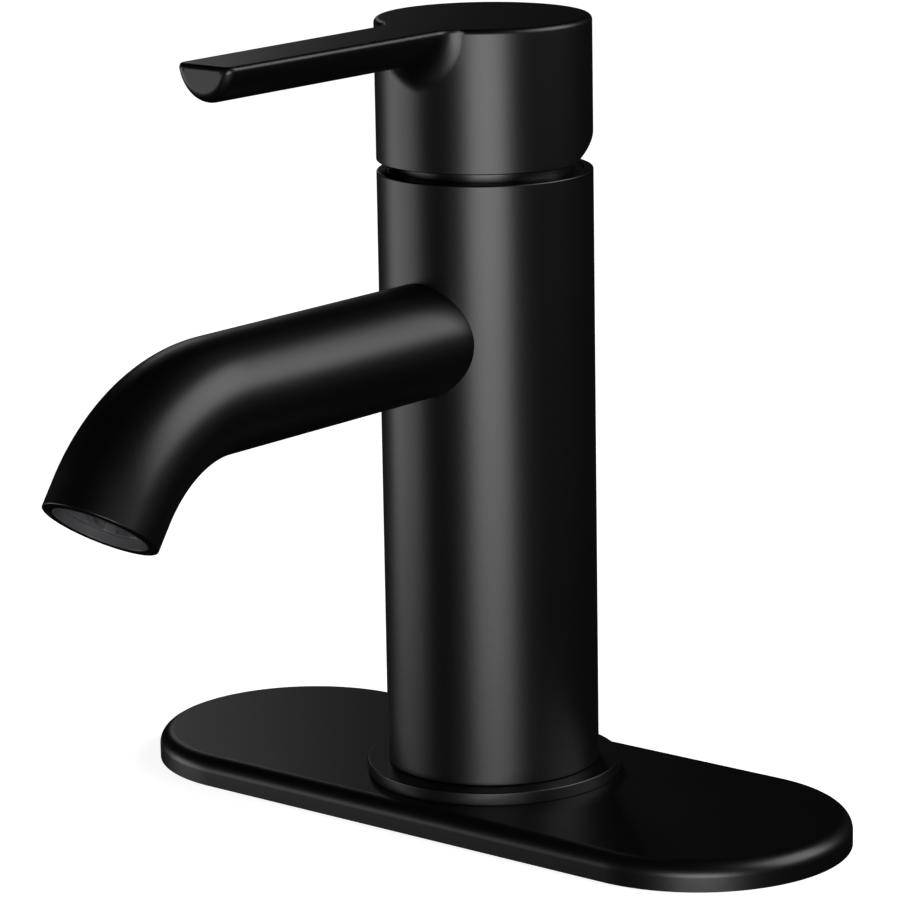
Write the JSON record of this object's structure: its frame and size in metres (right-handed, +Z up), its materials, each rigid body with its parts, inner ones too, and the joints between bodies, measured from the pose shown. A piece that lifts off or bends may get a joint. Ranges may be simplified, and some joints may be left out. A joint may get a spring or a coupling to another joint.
{
  "type": "bathroom mixer faucet",
  "caption": "Single-lever basin mixer: round column on an oval deck plate, bent tube spout with aerator, and a flat lever handle on a ceramic cartridge.",
  "frame": {"origin": "centre of the column's footprint, on the deck plane that the deck plate rests on", "axes": "+Z up the column, +X along the deck plate to the right of a user, -Y forwards along the spout and the lever"},
  "size_m": [0.1714, 0.1597, 0.1675],
  "materials": {
    "satin_black": "satin",
    "bonnet_black": "gloss",
    "cast_brass": "matte",
    "turned_brass": "satin",
    "seal_rubber": "satin",
    "foam_rubber": "matte",
    "valve_ceramic": "polished",
    "white_plastic": "satin",
    "natural_plastic": "satin",
    "blue_plastic": "satin",
    "red_plastic": "satin",
    "grey_plastic": "satin",
    "black_plastic": "satin",
    "aerator_grey": "satin",
    "screen_steel": "satin",
    "pin_steel": "satin"
  },
  "bodies": {
    "mixer_body": {"deck_plate": "satin_black", "deck_gasket": "foam_rubber", "base_ring": "satin_black", "base_ring_seal": "seal_rubber", "waterway_core": "cast_brass", "core_o_rings": "seal_rubber", "body_shell": "satin_black", "spout": "satin_black", "aerator_housing": "aerator_grey", "aerator_insert": "aerator_grey", "aerator_screen": "screen_steel", "flow_regulator": "white_plastic", "aerator_washer": "seal_rubber", "cartridge_base": "white_plastic", "cartridge_seal": "seal_rubber", "port_seals": "seal_rubber", "disc_seal": "seal_rubber", "fixed_disc": "valve_ceramic", "cartridge_housing": "white_plastic", "limit_ring": "red_plastic", "retaining_nut": "turned_brass", "bonnet": "bonnet_black"},
    "rotor": {"carriage": "blue_plastic", "pivot_pin": "pin_steel"},
    "valve_disc": {"moving_disc": "valve_ceramic", "disc_carrier": "natural_plastic"},
    "lever": {"stem": "turned_brass", "handle": "satin_black", "handle_insert": "grey_plastic", "set_screw": "pin_steel", "index_plug": "black_plastic"}
  },
  "joints": [
    {"name": "temperature_turn", "type": "hinge", "parent": "mixer_body", "child": "rotor", "pos_m": [0, 0, 0.1242], "axis": [0, 0, 1], "range_deg": [-45, 45]},
    {"name": "flow_lift", "type": "hinge", "parent": "rotor", "child": "lever", "pos_m": [0, 0, 0.1242], "axis": [-1, 0, 0], "range_deg": [0, 23]},
    {"name": "disc_slide", "type": "slide", "parent": "rotor", "child": "valve_disc", "axis": [0, -1, 0], "range_m": [0, 0.0042]}
  ],
  "couplings": [
    {"joint": "disc_slide", "follows": "flow_lift", "m_per_rad": 0.010279}
  ]
}
